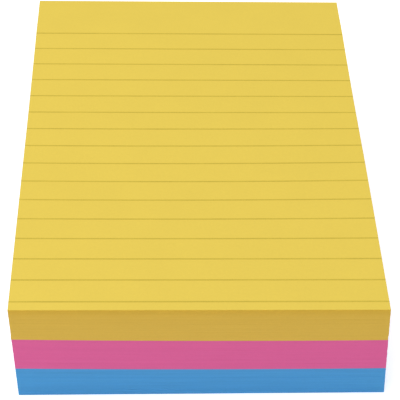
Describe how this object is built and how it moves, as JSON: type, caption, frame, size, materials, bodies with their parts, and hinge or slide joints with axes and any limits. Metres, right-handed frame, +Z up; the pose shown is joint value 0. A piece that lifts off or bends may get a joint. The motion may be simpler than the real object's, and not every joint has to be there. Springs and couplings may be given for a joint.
{
  "type": "sticky note pad",
  "caption": "Squared block of rectangular sticky notes in stacked yellow, pink and blue pads, the top sheet ruled for writing; sheets peel off a gummed back edge.",
  "frame": {"origin": "middle of the block's footprint, on the surface that it rests on", "axes": "+X across the notes, to the right as seen from their free front edge; +Y from the free front edge to the gummed back edge; +Z up through the stack"},
  "size_m": [0.1027, 0.1524, 0.0327],
  "materials": {
    "yellow_paper": "matte uncoated yellow paper",
    "pink_paper": "matte uncoated pink paper",
    "blue_paper": "matte uncoated blue paper",
    "ruling_ink": "thin olive printing ink on yellow paper"
  },
  "bodies": {
    "root": {"yellow_pad": "yellow_paper", "pink_pad": "pink_paper", "blue_pad": "blue_paper", "ruled_lines": "ruling_ink"}
  },
  "joints": []
}
